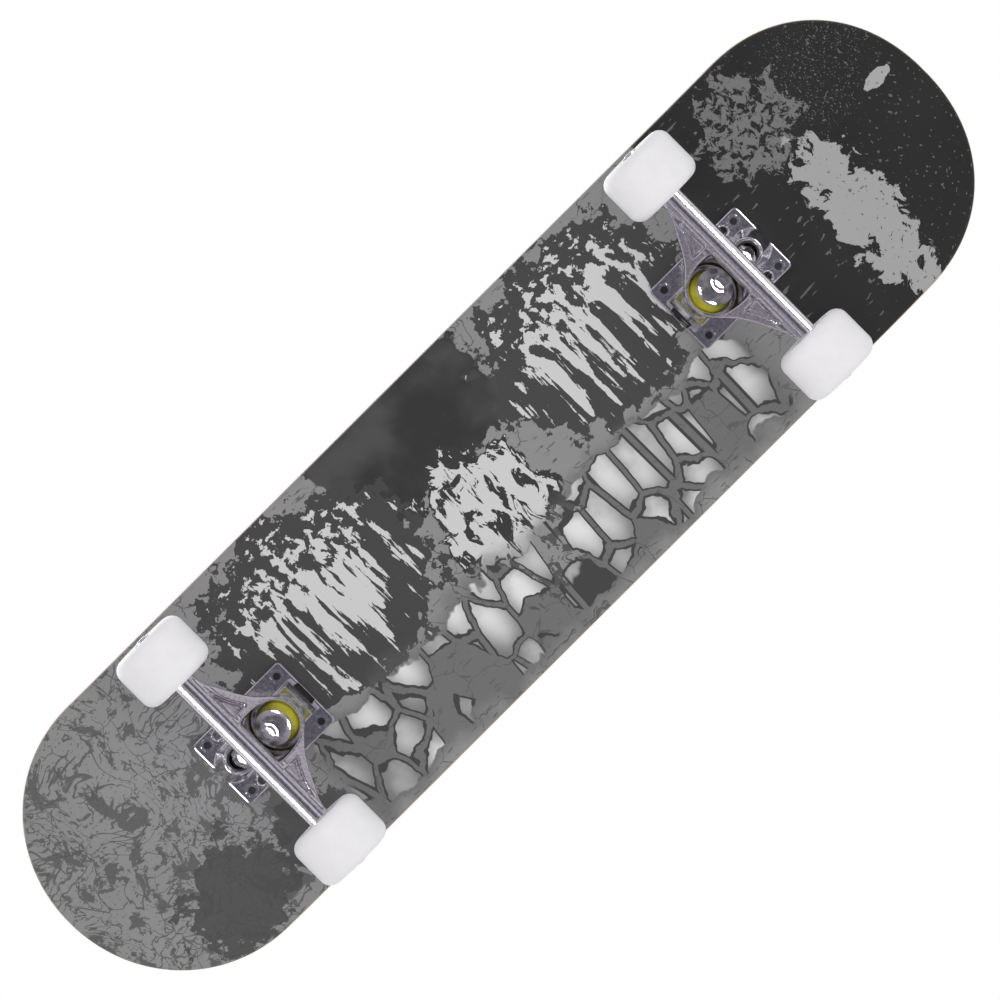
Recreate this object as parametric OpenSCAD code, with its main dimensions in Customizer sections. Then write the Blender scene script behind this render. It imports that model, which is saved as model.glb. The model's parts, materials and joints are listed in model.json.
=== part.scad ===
// Complete street skateboard: seven-ply kicked deck with grip tape, two cast trucks and four wheels.
// Row frame: +Z up, +Y towards the nose, origin on the ground under the middle of the deck.
// Truck frame: X along the axle, Y away from the board's middle, Z from the deck towards the ground.

/* [Deck] */
// Length from tail tip to nose tip
deck_len = 787.4; // [700:0.1:900]
// Width across the rails
deck_w = 203.2; // [180:0.1:235]
// Thickness of one maple veneer
ply_t = 1.5; // [1.2:0.05:1.9]
// Thickness of the glue line between two veneers
glue_t = 0.05; // [0.05:0.01:0.1]
// Thickness of the grip tape
grip_t = 0.9; // [0.6:0.1:1.2]
// How far the grip tape stops short of the top veneer's edge
grip_inset = 0.6; // [0.3:0.1:3]

/* [Deck shape] */
// Height of the rails above the flat middle
concave_h = 9; // [4:0.5:14]
// Width of the flat middle
flat_w = 60; // [58:1:80]
// Angle of the nose
nose_deg = 20; // [10:0.5:26]
// Angle of the tail
tail_deg = 19; // [10:0.5:26]
// Radius of both bends, at the underside
kick_r = 105; // [80:1:150]
// Straight deck between a baseplate and the bend next to it
kick_gap = 6; // [2:1:20]
// Length of the rounded end of the nose, in plan
nose_round = 99; // [80:1:125]
// Length of the rounded end of the tail, in plan
tail_round = 100; // [80:1:125]
// Squareness of the nose's outline, 2 being an ellipse
nose_square = 2.15; // [1.9:0.01:2.6]
// Squareness of the tail's outline, 2 being an ellipse
tail_square = 2.03; // [1.9:0.01:2.6]
// Radius that rounds the deck's edge
edge_r = 6.5; // [6:0.1:12]

/* [Truck placing] */
// Distance between the two trucks' inner mounting holes
wheelbase = 355.6; // [320:0.1:400]
// How far the trucks' middle lies towards the tail
truck_shift = 6.2; // [0:0.1:12]

/* [Baseplate] */
// Length along the board
plate_len = 79; // [76:0.5:86]
// Width across the board
plate_w = 54; // [50:0.5:57]
// Thickness of the plate
plate_t = 5; // [4:0.25:6]
// Radius of the plate's corners
plate_corner_r = 3; // [1:0.5:6]
// Length between the outermost mounting holes
hole_len = 63.5; // [60:0.1:68]
// Length between the inner mounting holes and the next pair
hole_len_short = 54; // [50:0.1:55]
// Width between the mounting holes
hole_w = 41.3; // [38:0.1:43]
// Diameter of a mounting hole in the plate
hole_d = 5.6; // [5.3:0.1:6]
// Width of the block that carries the kingpin
block_w = 25.6; // [25:0.2:28]
// Width of the window that shows the kingpin's head
window_w = 15.6; // [12:0.2:17]
// Thickness of the plate's ribs
rib_t = 3; // [2:0.25:4]

/* [Steering geometry] */
// The ring's middle, inwards from the plate's middle
ring_in = 13; // [11:0.5:15]
// From the ring's middle outwards to the pivot's
steer_run = 38; // [36:0.5:42]
// The pivot's middle below the deck
pivot_h = 12; // [12:0.5:15]
// From the pivot's middle down to the ring's
steer_drop = 18; // [15:0.5:22]
// From the ring's middle down to the axle
axle_drop = 23; // [22:0.5:27]
// From the axle outwards to the pivot's middle
axle_back = 12; // [10:0.5:13]
// Lean of the pivot's stem from square to the deck
stem_deg = 15; // [12:1:18]

/* [Hanger] */
// Length of the hanger between its two end faces
hanger_len = 137; // [125:0.5:165]
// Diameter of the tube around the axle
tube_d = 16; // [15:0.5:17]
// Outer radius of the ring around the kingpin
ring_r = 16.6; // [16:0.1:17.5]
// Thickness of the ring
ring_t = 7; // [6:0.25:8]
// Depth of the seat that each bushing sits in
seat_depth = 1.2; // [0.8:0.1:1.5]
// Diameter of the ring's hole
ring_bore = 16; // [15:0.5:18]
// Radius of the pocket cast around the upper bushing
pocket_r = 18.5; // [17.5:0.5:19]
// Radius of the pivot's ball end
ball_end_r = 5; // [4.5:0.1:5.2]

/* [Kingpin] */
// Diameter of the kingpin
kingpin_d = 9.5; // [9:0.1:10]
// Diameter of its round head
kingpin_head_d = 15; // [14:0.2:15.2]
// Height of its head
kingpin_head_h = 3.8; // [3:0.1:4]
// How far the kingpin stands out past its nut
kingpin_end = 1.6; // [1:0.2:3]
// Metal between the kingpin's head and the lower washer
seat_wall = 7.6; // [6:0.2:8]
// Height of the bushing next to the baseplate
lower_bushing_h = 11.5; // [11:0.25:12.5]
// Height of the bushing next to the nut
upper_bushing_h = 10; // [8:0.25:11]
// Diameter of both bushings where they meet the ring
bushing_d = 28; // [26:0.2:28.4]
// Diameter of the cup washers
washer_d = 24.6; // [22:0.2:25]
// Thickness of the cup washers
washer_t = 1.6; // [1.2:0.1:1.8]
// Size across the flats of the kingpin's nut
kingpin_nut_af = 14.3; // [14:0.1:16]
// Height of the kingpin's nut
kingpin_nut_h = 9; // [7:0.5:9.5]

/* [Axle] */
// Diameter of the axle
axle_d = 7.94; // [7.9:0.01:7.96]
// Thickness of a speed washer
speed_washer_t = 1; // [0.8:0.1:1.5]
// Diameter of a speed washer
speed_washer_d = 11; // [10:0.1:12]
// Size across the flats of an axle nut
axle_nut_af = 12.7; // [12:0.1:13]
// Height of an axle nut
axle_nut_h = 6.5; // [6:0.25:8]
// How far the axle stands out past its nuts
axle_end = 0.6; // [0:0.1:3]

/* [Wheels] */
// Diameter of a wheel
wheel_d = 56; // [50:0.5:60]
// Width of a wheel
wheel_w = 38; // [32:0.5:42]
// Radius of the wheel's rounded lips
lip_r = 8.5; // [5:0.5:9.5]
// Distance between a wheel's two bearings
spacer_len = 10; // [8:0.1:12]

/* [Bearings] */
// Outer diameter of a bearing
bearing_d = 22; // [22:0.1:22.4]
// Width of a bearing
bearing_w = 7; // [7:0.1:7.5]
// Bore of a bearing
bearing_bore = 8; // [8:0.01:8.05]
// Diameter of a ball
ball_d = 3.969; // [3.7:0.001:4]
// Balls in a bearing
ball_count = 7; // [6:1:8]

/* [Mounting hardware] */
// Diameter of a mounting bolt
bolt_d = 5; // [4.8:0.1:5.1]
// Diameter of its countersunk head
bolt_head_d = 9.6; // [9:0.1:10.4]
// Height of its countersunk head
bolt_head_h = 2.6; // [2.4:0.1:3]
// How far a bolt stands out past its nut
bolt_end = 0.5; // [0:0.5:6]
// Size across the flats of a mounting nut
bolt_nut_af = 8; // [7.8:0.1:8.4]
// Height of a mounting nut
bolt_nut_h = 5; // [4:0.25:6]

/* [Hidden] */
$fn = 64;
TRUCKS = ["front", "rear"];
WHEELS = ["front_left", "front_right", "rear_left", "rear_right"];
PLIES = 7;

// Gaps and margins
past = 1;
press_gap = 0.02;
slip_gap = 0.1;
run_gap = 0.03;
ball_gap = 0.015;

// Truck's three centres in its side view: ring, pivot and axle
ring_u = -ring_in;
ring_h = pivot_h + steer_drop;
pivot_u = ring_u + steer_run;
axle_u = pivot_u - axle_back;
axle_h = ring_h + axle_drop;

// Deck
ply_pitch = ply_t + glue_t;
deck_t = PLIES * ply_pitch - glue_t;
ride_h = axle_h + wheel_d / 2;
half_w = deck_w / 2;
half_len = deck_len / 2;
bend_w = half_w - flat_w / 2;
concave_r = (pow(bend_w, 2) + pow(concave_h, 2)) / (2 * concave_h);
tip_deg = 87.5;
tip_steps = 12;
bend_steps = 5;
rail_steps = 4;

// Trucks: each plate's middle along the board, and the bends just past the plates
truck_reach = wheelbase / 2 + hole_len / 2;
front_y = truck_reach - truck_shift;
rear_y = -truck_reach - truck_shift;
nose_bend = front_y + plate_len / 2 + kick_gap;
tail_bend = -rear_y + plate_len / 2 + kick_gap;
hole_rows = [-hole_len / 2, hole_len_short - hole_len / 2, hole_len / 2];

// Steering: the axis runs from the ring to the pivot, and the kingpin is square to it
kingpin_deg = atan2(steer_drop, steer_run);
lower_seat = ring_t / 2 - seat_depth + lower_bushing_h + washer_t;
upper_seat = ring_t / 2 - seat_depth + upper_bushing_h + washer_t;
head_seat = lower_seat + seat_wall;
kingpin_tip = upper_seat + kingpin_nut_h + kingpin_end;
bushing_bore = kingpin_d + 2 * slip_gap;

// Pivot: a ball end turning in a flared cup
cup_r = 7.6;
cup_floor = 2.2;
cup_rise = 5;
cup_flare = tan(16);
boss_r = 12.5;
boss_top_r = 10;
stem_straight = 8;
stem_cone = 16;
stem_len = 37;
stem_root_r = 8;

// Hardware details: screw slots, nut collars, washer rims and bushing corners
slot_len = 4.6;
slot_w = 1;
slot_depth = 1.8;
small_hex = 0.72;
kingpin_hex = 0.66;
nut_taper = 1.8;
nut_top = 1.03;
collar_share = 0.9;
head_bevel = 0.8;
tip_bevel = 1;
washer_rim_t = 1.1;
washer_rim_h = 1.2;
bushing_collar = 2.4;
bushing_corner = 1.4;
bushing_taper = 3;
lower_waist_r = 13;
upper_waist_r = 12.4;

// Casting details: how far the seat's block and ribs stand in from what they meet
block_foot = 3;
block_lean = 4.5;
block_rise = 6;
block_toe = 3.5;
rib_root = 6;
rib_crest = 3;
rib_foot = 4;
window_edge = 1;
window_top = 4;
ring_clear = 1.2;

// Wheel and bearing details
core_wall = 1.6;
seat_lip = 0.8;
seat_mouth = 0.6;
dish_step = 1.8;
dish_depth = 1.2;
dish_edge = 0.6;
shield_t = 0.35;
shield_inset = 0.75;
cage_wall = 0.65;
cage_reach = 1.6;
axle_bevel = 0.8;
spacer_wall = 1.2;

// Wheel and bearing places along the axle, from the board's middle
bearing_in = hanger_len / 2 + speed_washer_t;
wheel_mid = bearing_in + bearing_w + spacer_len / 2;
bearing_out = bearing_in + 2 * bearing_w + spacer_len;
axle_tip = bearing_out + speed_washer_t + axle_nut_h + axle_end;
bearing_mid = (spacer_len + bearing_w) / 2;
ball_track_r = (bearing_d + bearing_bore) / 4;
shoulder = 0.55;
inner_ring_r = ball_track_r - ball_d / 2 + shoulder;
outer_ring_r = ball_track_r + ball_d / 2 - shoulder;

// ---------- Deck ----------

// Half width of the plan outline at y, drawn in by inset: straight sides, then part of a superellipse
function half_width(y, inset) = let (n = y > 0 ? nose_square : tail_square,
        round = y > 0 ? nose_round : tail_round,
        t = min(1, max(0, (abs(y) - half_len + round) / (round - inset))))
    (half_w - inset) * pow(1 - pow(sin(tip_deg), 2) * pow(t, n), 1 / n);

// Stations along the deck: steps round each tip and through each bend
function tip_y(round, n, i) = round * pow(sin(tip_deg * i / tip_steps) / sin(tip_deg), 2 / n);
function bend_end(deg) = kick_r * sin(deg);
function sorted(v) = len(v) < 2 ? v : let (p = v[floor(len(v) / 2)])
    concat(sorted([for (x = v) if (x < p) x]), [for (x = v) if (x == p) x],
        sorted([for (x = v) if (x > p) x]));
function stations(inset) = sorted(concat(
    [for (i = [0:tip_steps]) -half_len + tail_round - tip_y(tail_round - inset, tail_square, i)],
    [for (i = [0:bend_steps]) -tail_bend - bend_end(tail_deg * i / bend_steps)],
    [for (i = [0:bend_steps]) nose_bend + bend_end(nose_deg * i / bend_steps)],
    [for (i = [0:tip_steps]) half_len - nose_round + tip_y(nose_round - inset, nose_square, i)]));

// Columns across the deck, as fractions of its half width
flat_part = flat_w / deck_w;
columns = concat([for (i = [0:rail_steps]) -1 + (1 - flat_part) * i / rail_steps],
    [for (i = [0:rail_steps]) flat_part + (1 - flat_part) * i / rail_steps]);

// Height of the underside above the flat middle, as a sum of a kick along Y and a concave across X
function kick_z(d, deg) = d <= 0 ? 0 : d < bend_end(deg) ? kick_r - sqrt(pow(kick_r, 2) - d * d)
    : kick_r * (1 - cos(deg)) + (d - bend_end(deg)) * tan(deg);
function kick_slope(d, deg) = d <= 0 ? 0 : d < bend_end(deg) ? d / sqrt(pow(kick_r, 2) - d * d)
    : tan(deg);
function along_z(y) = kick_z(y - nose_bend, nose_deg) + kick_z(-y - tail_bend, tail_deg);
function along_slope(y) = kick_slope(y - nose_bend, nose_deg) - kick_slope(-y - tail_bend, tail_deg);
function rail_d(x) = max(0, abs(x) - flat_w / 2);
function across_z(x) = concave_r - sqrt(pow(concave_r, 2) - pow(rail_d(x), 2));
function across_slope(x) = sign(x) * rail_d(x) / sqrt(pow(concave_r, 2) - pow(rail_d(x), 2));

// The point at height h above the underside, square to it, where (x, y) is at half thickness
function deck_point(x, y, h) = let (sx = across_slope(x), sy = along_slope(y),
        n = sqrt(1 + sx * sx + sy * sy), lift = h - deck_t / 2)
    [x - lift * sx / n, y - lift * sy / n, ride_h + along_z(y) + across_z(x) + h / n];

// How far the rounded edge draws the outline in, at height h
function edge_inset(h) = edge_r - sqrt(pow(edge_r, 2) - pow(h - deck_t / 2, 2));

// One layer of the deck between heights low and high, with its own inset at each
module deck_layer(low, high, low_inset, high_inset) {
    rows = len(stations(0));
    cols = len(columns);
    grid = rows * cols;
    points = concat(
        [for (y = stations(low_inset), c = columns) deck_point(c * half_width(y, low_inset), y, low)],
        [for (y = stations(high_inset), c = columns) deck_point(c * half_width(y, high_inset), y, high)]);
    under = [for (r = [0:rows - 2], c = [0:cols - 2]) let (p = r * cols + c)
        each c < cols / 2 - 1 ? [[p, p + 1, p + cols + 1], [p, p + cols + 1, p + cols]]
            : [[p, p + 1, p + cols], [p + 1, p + cols + 1, p + cols]]];
    over = [for (f = under) [f[2] + grid, f[1] + grid, f[0] + grid]];
    left = [for (r = [0:rows - 2]) let (p = r * cols)
        each [[p, p + cols, p + grid], [p + cols, p + cols + grid, p + grid]]];
    right = [for (r = [0:rows - 2]) let (p = r * cols + cols - 1)
        each [[p, p + grid, p + cols], [p + cols, p + grid, p + cols + grid]]];
    back = [for (c = [0:cols - 2]) each [[c, c + grid, c + 1], [c + 1, c + grid, c + 1 + grid]]];
    front = [for (c = [0:cols - 2]) let (p = grid - cols + c)
        each [[p, p + 1, p + grid], [p + 1, p + 1 + grid, p + grid]]];
    difference() {
        polyhedron(points, concat(under, over, left, right, back, front));
        for (t = TRUCKS) at_truck(t) at_bolts() bolt_shape(slip_gap, past);
    }
}

module deck_ply(i) {
    low = (i - 1) * ply_pitch;
    color(i % 2 == 0 ? "burlywood" : "wheat")
        deck_layer(low, low + ply_t, edge_inset(low), edge_inset(low + ply_t));
}

module grip_tape() {
    inset = edge_inset(deck_t) + grip_inset;
    color("dimgray") deck_layer(deck_t + glue_t, deck_t + glue_t + grip_t, inset, inset);
}

// ---------- Placing ----------

module at_truck(t) {
    if (t == "front") translate([0, front_y, ride_h]) rotate([0, 180, 0]) children();
    else translate([0, rear_y, ride_h]) rotate([180, 0, 0]) children();
}

// The four bolts of one truck, with Z still pointing from the deck to the ground
module at_bolts()
    for (x = [-1, 1], y = [-1, 1]) translate([x * hole_w / 2, y * hole_len / 2, 0]) children();

// Ring frame: Z along the kingpin towards its nut, Y along the steering axis towards the pivot
module at_ring() translate([0, ring_u, ring_h]) rotate([-kingpin_deg, 0, 0]) children();

// Pivot frame: Z along the stem, away from the deck
module at_pivot() translate([0, pivot_u, pivot_h]) rotate([stem_deg, 0, 0]) children();

// Both ends of the axle, with Z along it and outwards
module at_axle_ends()
    for (m = [0, 1]) mirror([m, 0, 0]) translate([0, axle_u, axle_h]) rotate([0, 90, 0]) children();

// One wheel's frame: Z along its axle, away from the board
module at_wheel(w) {
    y = w[0] == "f" ? front_y + axle_u : rear_y - axle_u;
    right = w == "front_right" || w == "rear_right";
    mirror([right ? 0 : 1, 0, 0]) translate([wheel_mid, y, wheel_d / 2]) rotate([0, 90, 0]) children();
}

// The two bearings of a wheel, each with Z towards the outside of the wheel
module at_bearings() for (m = [0, 1]) mirror([0, 0, m]) translate([0, 0, bearing_mid]) children();

// ---------- Shared shapes ----------

module tube(r_out, r_in, h) difference() {
    cylinder(r = r_out, h = h);
    translate([0, 0, -past]) cylinder(r = r_in, h = h + 2 * past);
}

// Hexagonal nut with its lower edge chamfered and a plain collar for its locking ring
module lock_nut(af, bore_r, hex_h, h) difference() {
    union() {
        intersection() {
            cylinder(r = af / 2 / cos(30), h = hex_h, $fn = 6);
            cylinder(r1 = af / 2 + hex_h * nut_taper, r2 = af / 2 * nut_top, h = hex_h);
        }
        cylinder(r = af / 2 * collar_share, h = h);
    }
    translate([0, 0, -past]) cylinder(r = bore_r, h = h + 2 * past);
}

// Side profile in [outwards, depth] points, made w wide and centred on the truck's middle
module side_slab(profile, w) rotate([90, 0, 90]) translate([0, 0, -w / 2]) linear_extrude(w)
    polygon(profile);

// ---------- Mounting hardware ----------

// Bolt from its head, flush with the grip tape, to its end; gap makes it the hole instead
module bolt_shape(gap, extra) {
    top = -deck_t - glue_t - grip_t;
    end = plate_t + bolt_nut_h + bolt_end;
    translate([0, 0, top - extra]) cylinder(r = bolt_d / 2 + gap, h = end - top + extra);
    translate([0, 0, top]) cylinder(r1 = bolt_head_d / 2 + gap, r2 = bolt_d / 2 + gap, h = bolt_head_h);
    if (extra > 0)
        translate([0, 0, top - extra]) cylinder(r = bolt_head_d / 2 + gap, h = extra + 0.01);
}

module mounting_bolts(t) color("gray") at_truck(t) at_bolts() difference() {
    bolt_shape(0, 0);
    for (a = [0, 90]) rotate(a) translate([-slot_len / 2, -slot_w / 2, -deck_t - glue_t - grip_t - past])
        cube([slot_len, slot_w, past + slot_depth]);
}

module mounting_nuts(t) color("silver") at_truck(t) at_bolts() translate([0, 0, plate_t])
    lock_nut(bolt_nut_af, bolt_d / 2 + press_gap, bolt_nut_h * small_hex, bolt_nut_h);

// ---------- Baseplate ----------

module plate_outline() {
    square([plate_w - 2 * plate_corner_r, plate_len], center = true);
    square([plate_w, plate_len - 2 * plate_corner_r], center = true);
    for (x = [-1, 1], y = [-1, 1])
        translate([x * (plate_w / 2 - plate_corner_r), y * (plate_len / 2 - plate_corner_r)])
            circle(r = plate_corner_r);
}

// Point in the truck frame's side view for a point (y, z) of the ring frame
function ring_side(y, z) = [ring_u + y * cos(kingpin_deg) + z * sin(kingpin_deg),
    ring_h - y * sin(kingpin_deg) + z * cos(kingpin_deg)];

module kingpin_block() {
    seat_half = block_w / 2;
    side_slab([[-plate_len / 2 + block_foot, plate_t - past],
        [-plate_len / 2 + block_lean, plate_t + block_rise],
        ring_side(-seat_half, -lower_seat), ring_side(seat_half, -lower_seat),
        [ring_side(seat_half, -lower_seat)[0] + block_toe, plate_t - past]], block_w);
}

module plate_rib(side) {
    nose = ring_side(block_w / 2, -lower_seat);
    translate([side * (block_w / 2 - rib_t / 2), 0, 0])
        side_slab([[nose[0] - rib_root, plate_t - past], [nose[0] - rib_crest, nose[1]],
            [pivot_u - 2 * rib_foot, plate_t + rib_t / 2], [pivot_u - rib_foot, plate_t - past]], rib_t);
}

module baseplate(t) {
    window_end = -plate_len / 2 + window_edge;
    color("lightgray") at_truck(t) difference() {
        union() {
            linear_extrude(plate_t) plate_outline();
            kingpin_block();
            for (s = [-1, 1]) plate_rib(s);
            intersection() {
                at_pivot() translate([0, 0, -pivot_h]) cylinder(r1 = boss_r + 1, r2 = boss_top_r,
                    h = pivot_h + cup_rise);
                linear_extrude(2 * pivot_h + cup_rise) plate_outline();
            }
        }
        // Holes
        for (x = [-1, 1], y = hole_rows) translate([x * hole_w / 2, y, -past])
            cylinder(r = hole_d / 2, h = plate_t + 2 * past);
        at_ring() translate([0, 0, -head_seat - past]) cylinder(r = kingpin_d / 2 + press_gap,
            h = head_seat);
        at_ring() translate([0, 0, -head_seat - 3 * kingpin_head_h])
            cylinder(r = kingpin_head_d / 2 + slip_gap, h = 3 * kingpin_head_h);
        // Window over the kingpin's head
        translate([-window_w / 2, window_end, -past])
            cube([window_w, ring_side(0, -head_seat)[0] - window_end, plate_t + window_top + past]);
        // Socket for the pivot cup
        at_pivot() translate([0, 0, -ball_end_r - cup_floor]) cylinder(r = cup_r + press_gap, h = 40);
        // Nothing stands past the deck's face
        translate([-plate_w, -plate_len, -20]) cube([2 * plate_w, 2 * plate_len, 20]);
    }
}

module pivot_cup(t) color("darkslategray") at_truck(t) at_pivot() difference() {
    translate([0, 0, -ball_end_r - cup_floor]) cylinder(r = cup_r, h = ball_end_r + cup_floor + cup_rise);
    sphere(r = ball_end_r + run_gap);
    cylinder(r1 = ball_end_r + run_gap, r2 = ball_end_r + run_gap + (cup_rise + past) * cup_flare,
        h = cup_rise + past);
}

// ---------- Kingpin ----------

module kingpin(t) color("goldenrod") at_truck(t) at_ring() {
    translate([0, 0, -head_seat - kingpin_head_h]) {
        cylinder(r1 = kingpin_head_d / 2 - head_bevel, r2 = kingpin_head_d / 2, h = head_bevel);
        translate([0, 0, head_bevel]) cylinder(r = kingpin_head_d / 2, h = kingpin_head_h - head_bevel);
        cylinder(r = kingpin_d / 2, h = head_seat + kingpin_head_h + kingpin_tip - tip_bevel);
    }
    translate([0, 0, kingpin_tip - tip_bevel])
        cylinder(r1 = kingpin_d / 2, r2 = kingpin_d / 2 - tip_bevel, h = tip_bevel);
}

module kingpin_nut(t) color("silver") at_truck(t) at_ring() translate([0, 0, upper_seat])
    lock_nut(kingpin_nut_af, kingpin_d / 2 + press_gap, kingpin_nut_h * kingpin_hex, kingpin_nut_h);

// Washer with a rim that turns over the bushing's edge
module cup_washer() difference() {
    union() {
        cylinder(r = washer_d / 2, h = washer_t);
        translate([0, 0, -washer_rim_h])
            tube(washer_d / 2, washer_d / 2 - washer_rim_t, washer_rim_h + 0.1);
    }
    translate([0, 0, -3]) cylinder(r = kingpin_d / 2 + slip_gap, h = 6);
}

module cup_washers(t) color("silver") at_truck(t) at_ring() for (m = [0, 1]) mirror([0, 0, m])
    translate([0, 0, (m == 0 ? upper_seat : lower_seat) - washer_t]) cup_washer();

// Bushing from its wide end at the ring to the narrower end inside its washer
module bushing(h, waist_r) {
    end_r = washer_d / 2 - washer_rim_t - slip_gap;
    rotate_extrude() polygon([[bushing_bore / 2, 0], [bushing_d / 2, 0], [bushing_d / 2, bushing_collar],
        [waist_r, h - bushing_taper], [end_r, h - bushing_corner], [end_r, h], [bushing_bore / 2, h]]);
}

module lower_bushing(t) color("olive") at_truck(t) at_ring()
    mirror([0, 0, 1]) translate([0, 0, ring_t / 2 - seat_depth]) bushing(lower_bushing_h, lower_waist_r);

module upper_bushing(t) color("olive") at_truck(t) at_ring()
    translate([0, 0, ring_t / 2 - seat_depth]) bushing(upper_bushing_h, upper_waist_r);

// ---------- Hanger ----------

// Wings in plan, as [sideways, part of the way from the tube's edge to the ring's inner end]
wing_edge = [[0, 1], [4.5, 0.99], [8.9, 0.935], [13.4, 0.83], [23.7, 0.535], [28.8, 0.43], [34, 0.335],
    [38.5, 0.27], [43, 0.2], [48, 0.12], [53, 0.05], [58.8, 0.01], [60.5, 0]];
valley_edge = [[23.5, 0.33], [28, 0.235], [33, 0.155], [39, 0.085], [45, 0.025], [49, -0.1], [23.5, -0.1]];
wing_root = 24;
wing_end = wing_edge[len(wing_edge) - 1][0];
wing_margin = 8;
tube_edge = axle_u - tube_d / 2 + 0.6;
wing_reach = tube_edge - ring_u + ring_r - 2;

// The wings past their root stretch to suit the hanger's length
function wing_point(p) = [p[0] <= wing_root ? p[0] : wing_root + (p[0] - wing_root)
    * (hanger_len / 2 - wing_margin - wing_root) / (wing_end - wing_root), tube_edge - wing_reach * p[1]];

module wing_plan() polygon(concat([for (p = wing_edge) wing_point(p)],
    [[wing_point([wing_end, 0])[0], axle_u], [0, axle_u]]));

// Valley between the raised edge of a wing and the tube
module valley_plan() polygon([for (p = valley_edge) wing_point(p)]);

module hanger_wings() intersection() {
    for (m = [0, 1]) mirror([m, 0, 0]) linear_extrude(axle_h + tube_d) wing_plan();
    side_slab([ring_side(-ring_r, -ring_t / 2), ring_side(-ring_r - 0.4, ring_t / 2 - 1),
        [axle_u - 10, axle_h + 5], [axle_u, axle_h + 6], [axle_u, axle_h - 6],
        [axle_u - 8, axle_h - 6.8], [axle_u - 19, axle_h - 11], ring_side(0, 1), ring_side(-8.6, -3)],
        hanger_len);
}

// Half of the web in plan: wide round the ring, narrow at the pivot's stem
web_half = [[9, ring_u - 11], [17, ring_u - 4.5], [20, ring_u - 1], [20, ring_u + 10],
    [15.5, axle_u - 9], [9, axle_u], [6.5, axle_u + 7], [6.5, pivot_u + 5]];

module hanger_web() intersection() {
    side_slab([ring_side(-ring_r + 6, -ring_t / 2), ring_side(ring_r + 1, -ring_t / 2),
        [pivot_u - 13, pivot_h + 10.5], [pivot_u - 5, pivot_h + 12], [pivot_u, pivot_h + 18],
        [axle_u + tube_d / 2, axle_h - 3], [axle_u, axle_h], [axle_u - 21, axle_h - 9],
        ring_side(-ring_r + 7, ring_t / 2)], 40);
    translate([0, 0, -past]) linear_extrude(axle_h + 10)
        polygon(concat(web_half, [for (i = [len(web_half) - 1:-1:0]) [-web_half[i][0], web_half[i][1]]]));
}

module hanger(t) color("lightgray") at_truck(t) difference() {
    union() {
        difference() {
            union() {
                hanger_wings();
                hanger_web();
            }
            at_ring() translate([0, 0, ring_t / 2]) cylinder(r = pocket_r, h = 40);
            at_ring() translate([0, 0, -ring_t / 2 - 30]) cylinder(r = bushing_d / 2 + ring_clear, h = 30);
            for (m = [0, 1]) mirror([m, 0, 0]) intersection() {
                linear_extrude(axle_h + tube_d) valley_plan();
                side_slab([[axle_u - 23, axle_h - 6.4], [axle_u - 5, axle_h + 4],
                    [axle_u - 5, axle_h + tube_d], [axle_u - 23, axle_h + tube_d]], hanger_len);
            }
        }
        at_ring() translate([0, 0, -ring_t / 2]) cylinder(r = ring_r, h = ring_t);
        translate([-hanger_len / 2, axle_u, axle_h]) rotate([0, 90, 0])
            cylinder(r = tube_d / 2, h = hanger_len);
        at_pivot() {
            sphere(r = ball_end_r);
            cylinder(r = ball_end_r * 0.97, h = stem_straight + past);
            translate([0, 0, stem_straight]) cylinder(r1 = ball_end_r * 0.97, r2 = stem_root_r,
                h = stem_cone);
            translate([0, 0, stem_straight + stem_cone]) cylinder(r = stem_root_r,
                h = stem_len - stem_straight - stem_cone);
        }
    }
    at_ring() {
        translate([0, 0, -ring_t]) cylinder(r = ring_bore / 2, h = 2 * ring_t);
        for (m = [0, 1]) mirror([0, 0, m]) translate([0, 0, ring_t / 2 - seat_depth])
            cylinder(r = bushing_d / 2 + slip_gap, h = seat_depth + past);
    }
    translate([-hanger_len, axle_u, axle_h]) rotate([0, 90, 0])
        cylinder(r = axle_d / 2 + press_gap, h = 2 * hanger_len);
}

// ---------- Axle ----------

module axle(t) color("silver") at_truck(t) {
    translate([-axle_tip + tip_bevel, axle_u, axle_h]) rotate([0, 90, 0])
        cylinder(r = axle_d / 2, h = 2 * (axle_tip - tip_bevel));
    at_axle_ends() translate([0, 0, axle_tip - tip_bevel])
        cylinder(r1 = axle_d / 2, r2 = axle_d / 2 - axle_bevel, h = tip_bevel);
}

module speed_washers(t) color("silver") at_truck(t) at_axle_ends()
    for (z = [hanger_len / 2, bearing_out]) translate([0, 0, z])
        tube(speed_washer_d / 2, axle_d / 2 + press_gap, speed_washer_t);

module axle_nuts(t) color("silver") at_truck(t) at_axle_ends()
    translate([0, 0, bearing_out + speed_washer_t])
        lock_nut(axle_nut_af, axle_d / 2 + press_gap, axle_nut_h * small_hex, axle_nut_h);

module bearing_spacers(t) color("silver") at_truck(t) at_axle_ends()
    translate([0, 0, bearing_in + bearing_w]) tube(bearing_bore / 2 + spacer_wall, axle_d / 2 + press_gap,
        spacer_len);

// ---------- Bearings ----------

module ball_track() rotate_extrude() translate([ball_track_r, 0]) circle(r = ball_d / 2 + ball_gap);

module bearing_inner_rings(t) color("lightsteelblue") at_truck(t) at_axle_ends()
    translate([0, 0, wheel_mid]) at_bearings() difference() {
        translate([0, 0, -bearing_w / 2]) tube(inner_ring_r, bearing_bore / 2, bearing_w);
        ball_track();
    }

module bearing_outer_rings(w) color("lightsteelblue") at_wheel(w) at_bearings() difference() {
    translate([0, 0, -bearing_w / 2]) tube(bearing_d / 2, outer_ring_r, bearing_w);
    ball_track();
}

module bearing_shields(w) color("dimgray") at_wheel(w) at_bearings()
    translate([0, 0, bearing_w / 2 - shield_inset])
        tube(outer_ring_r - press_gap, inner_ring_r + shield_t, shield_t);

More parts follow.
